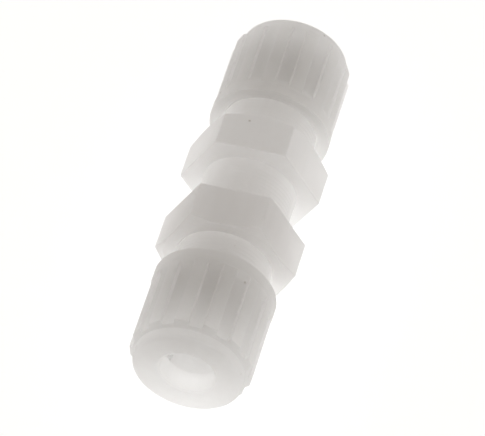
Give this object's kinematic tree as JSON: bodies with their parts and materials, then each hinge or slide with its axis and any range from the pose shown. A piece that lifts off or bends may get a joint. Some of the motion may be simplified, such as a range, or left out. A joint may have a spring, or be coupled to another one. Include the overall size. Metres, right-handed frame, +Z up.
{
  "type": "bulkhead tube coupling",
  "caption": "Straight bulkhead coupling for plastic tube: a flanged threaded body, a hexagonal lock nut and a fluted union nut with grip and seal rings at each end.",
  "frame": {"origin": "on the tube axis, half way between the closed ends of the two union nuts", "axes": "+X along the tube axis from the near end to the far end, +Z up, square to a pair of hexagon flats, +Y to complete a right-handed frame"},
  "size_m": [0.0926, 0.0312, 0.027],
  "materials": {
    "body_plastic": "natural translucent moulded plastic, satin",
    "nut_plastic": "natural translucent moulded plastic, satin",
    "ring_plastic": "white moulded plastic",
    "seal_rubber": "smooth pale unfilled rubber"
  },
  "bodies": {
    "fitting": {"body": "body_plastic", "o_ring_near": "seal_rubber", "o_ring_far": "seal_rubber"},
    "lock_nut": {"lock_nut": "nut_plastic"},
    "near_rings": {"thrust_ring_near": "ring_plastic", "grip_ring_near": "ring_plastic"},
    "near_nut": {"union_nut_near": "nut_plastic"},
    "far_rings": {"thrust_ring_far": "ring_plastic", "grip_ring_far": "ring_plastic"},
    "far_nut": {"union_nut_far": "nut_plastic"}
  },
  "joints": [
    {"name": "lock_nut_travel", "type": "slide", "parent": "fitting", "child": "lock_nut", "axis": [1, 0, 0], "range_m": [-0.0055, 0.011]},
    {"name": "near_nut_travel", "type": "slide", "parent": "fitting", "child": "near_rings", "axis": [-1, 0, 0], "range_m": [-0.00092, 0.00975]},
    {"name": "near_nut_turn", "type": "hinge", "parent": "near_rings", "child": "near_nut", "pos_m": [-0.0347, 0, 0], "axis": [-1, 0, 0], "range_deg": [-330, 3510]},
    {"name": "far_nut_travel", "type": "slide", "parent": "fitting", "child": "far_rings", "axis": [1, 0, 0], "range_m": [-0.00092, 0.00975]},
    {"name": "far_nut_turn", "type": "hinge", "parent": "far_rings", "child": "far_nut", "pos_m": [0.0347, 0, 0], "axis": [1, 0, 0], "range_deg": [-330, 3510]}
  ],
  "couplings": [
    {"joint": "near_nut_travel", "follows": "near_nut_turn", "m_per_rad": 0.00015915},
    {"joint": "far_nut_travel", "follows": "far_nut_turn", "m_per_rad": 0.00015915}
  ]
}
